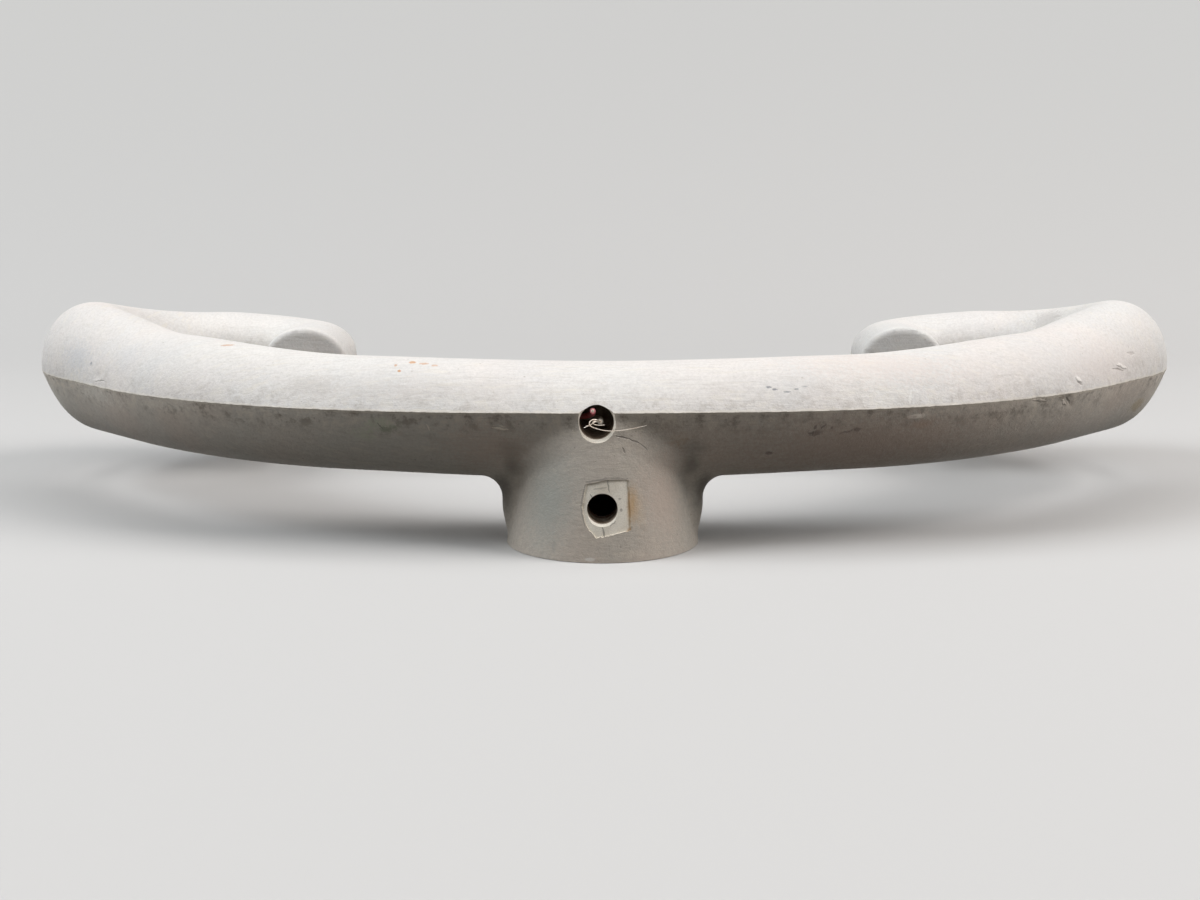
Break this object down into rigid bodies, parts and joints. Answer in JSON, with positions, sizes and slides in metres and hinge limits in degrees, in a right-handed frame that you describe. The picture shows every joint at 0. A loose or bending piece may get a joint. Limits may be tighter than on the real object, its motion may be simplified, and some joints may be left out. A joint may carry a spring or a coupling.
{
  "type": "aircraft control yoke",
  "caption": "Ram's-horn control yoke: two bonded half mouldings on a hub with a shaft socket and cross-bolt hole, and a push-to-talk button in one horn.",
  "frame": {"origin": "centre of the shaft socket's mouth, in the hub's base face", "axes": "+Z along the control shaft out of the panel towards the pilot, +Y towards the tops of the horns, +X to the pilot's right"},
  "size_m": [0.2982, 0.1399, 0.0483],
  "materials": {
    "moulding": "satin, worn",
    "core_steel": "rusted",
    "plated_steel": "plated",
    "contact_brass": "bright",
    "button_plastic": "satin",
    "insulator": "matte",
    "lead_red": "satin",
    "lead_white": "satin",
    "strand_tinned": "tinned"
  },
  "bodies": {
    "yoke": {"front_half": "moulding", "rear_half": "moulding", "shaft_sleeve": "core_steel", "sleeve_cap": "core_steel", "armature_left": "core_steel", "armature_right": "core_steel", "armature_screws": "plated_steel", "wire_signal": "lead_red", "wire_return": "lead_white", "wire_strand": "strand_tinned", "wire_boots": "button_plastic", "switch_can": "plated_steel", "switch_bezel": "plated_steel", "switch_washer": "plated_steel", "switch_spring": "plated_steel", "switch_base": "insulator", "terminal_signal": "contact_brass", "terminal_return": "contact_brass"},
    "talk_button": {"switch_button": "button_plastic", "switch_bridge": "contact_brass"}
  },
  "joints": [
    {"name": "button_press", "type": "slide", "parent": "yoke", "child": "talk_button", "axis": [0, 1, 0], "range_m": [0, 0.0012], "stiffness_N_per_m": 1500, "springref_m": -0.0012, "deforming": ["switch_spring"]}
  ]
}
